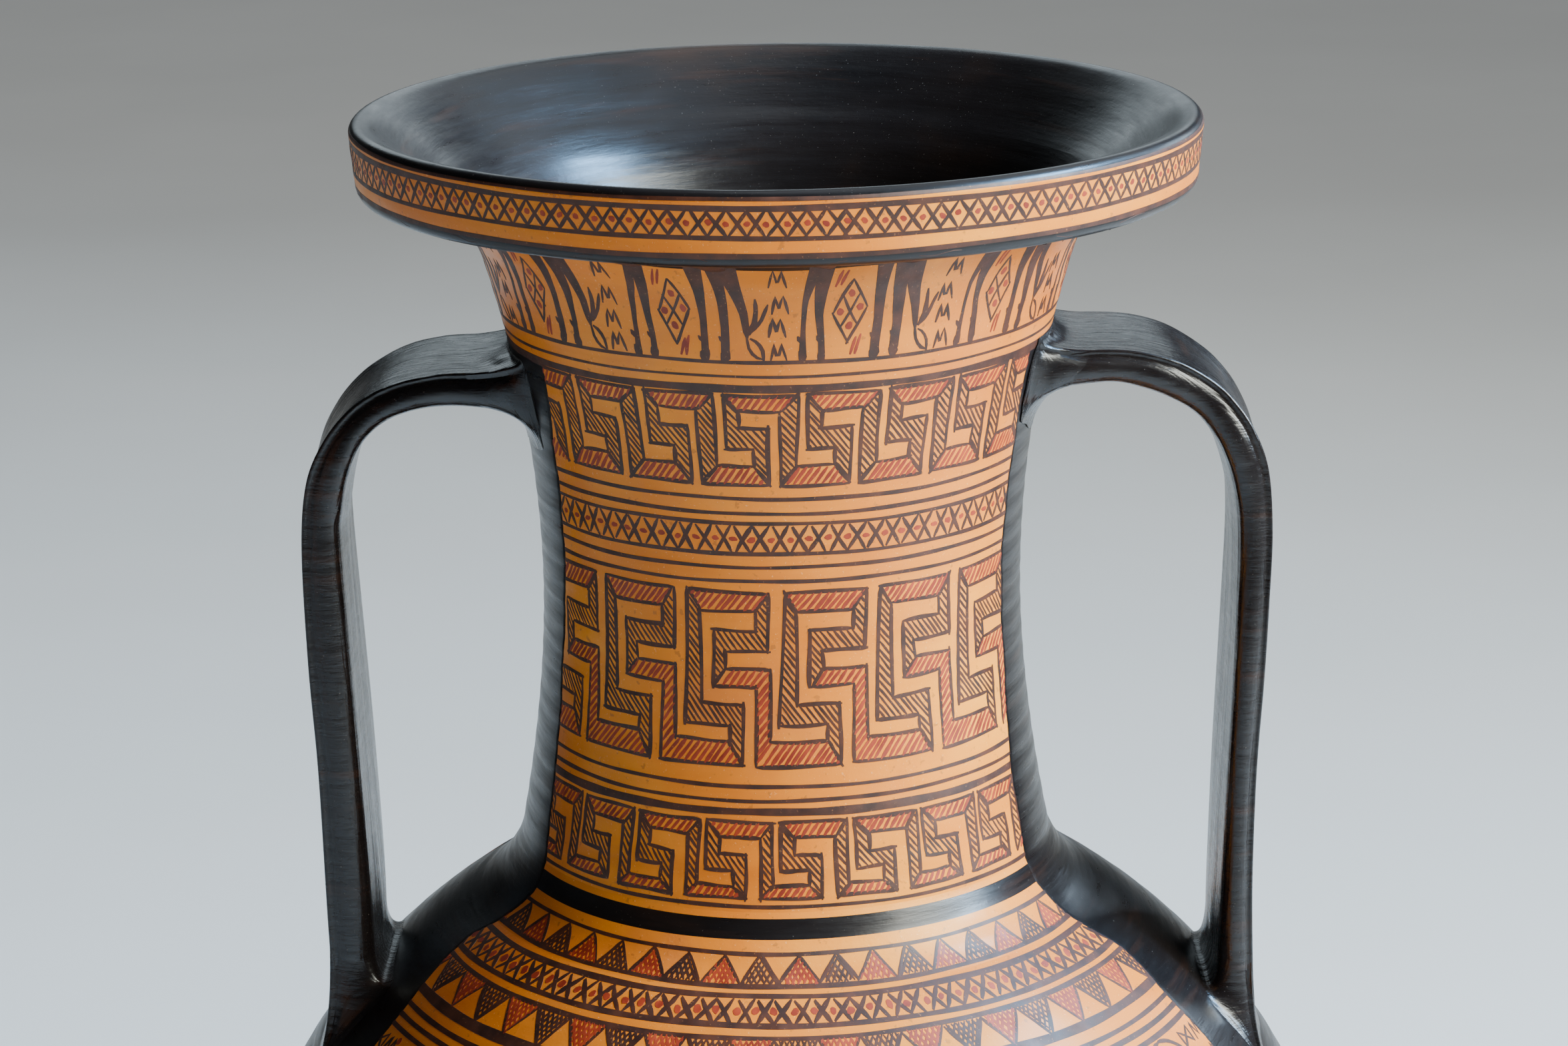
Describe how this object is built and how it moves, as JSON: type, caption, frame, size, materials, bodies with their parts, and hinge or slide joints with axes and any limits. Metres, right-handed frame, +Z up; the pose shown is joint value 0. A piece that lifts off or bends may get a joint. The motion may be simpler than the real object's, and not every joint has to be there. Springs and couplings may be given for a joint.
{
  "type": "amphora",
  "caption": "Tall neck-handled storage amphora in painted terracotta, with a flaring rim, strap handles, an ovoid body and a ring foot.",
  "frame": {"origin": "centre of the foot ring, on the surface the vessel stands on", "axes": "+Z up along the axis of the vessel; the two handles stand along -X and +X; the painted front faces -Y"},
  "size_m": [0.2869, 0.287, 0.545],
  "materials": {
    "terracotta": "burnished orange clay",
    "black_slip": "glossy black slip",
    "line_slip": "thin dark brown brush lines",
    "red_slip": "brick red brush lines"
  },
  "bodies": {
    "root": {"foot_ring": "black_slip", "lower_body": "terracotta", "lower_join_coil": "terracotta", "middle_body": "terracotta", "belly_join_coil": "terracotta", "shoulder": "terracotta", "neck_join_coil": "black_slip", "neck": "terracotta", "mouth": "terracotta", "rim": "black_slip", "left_handle": "black_slip", "right_handle": "black_slip", "left_upper_luting": "black_slip", "left_lower_luting": "black_slip", "right_upper_luting": "black_slip", "right_lower_luting": "black_slip"}
  },
  "joints": []
}
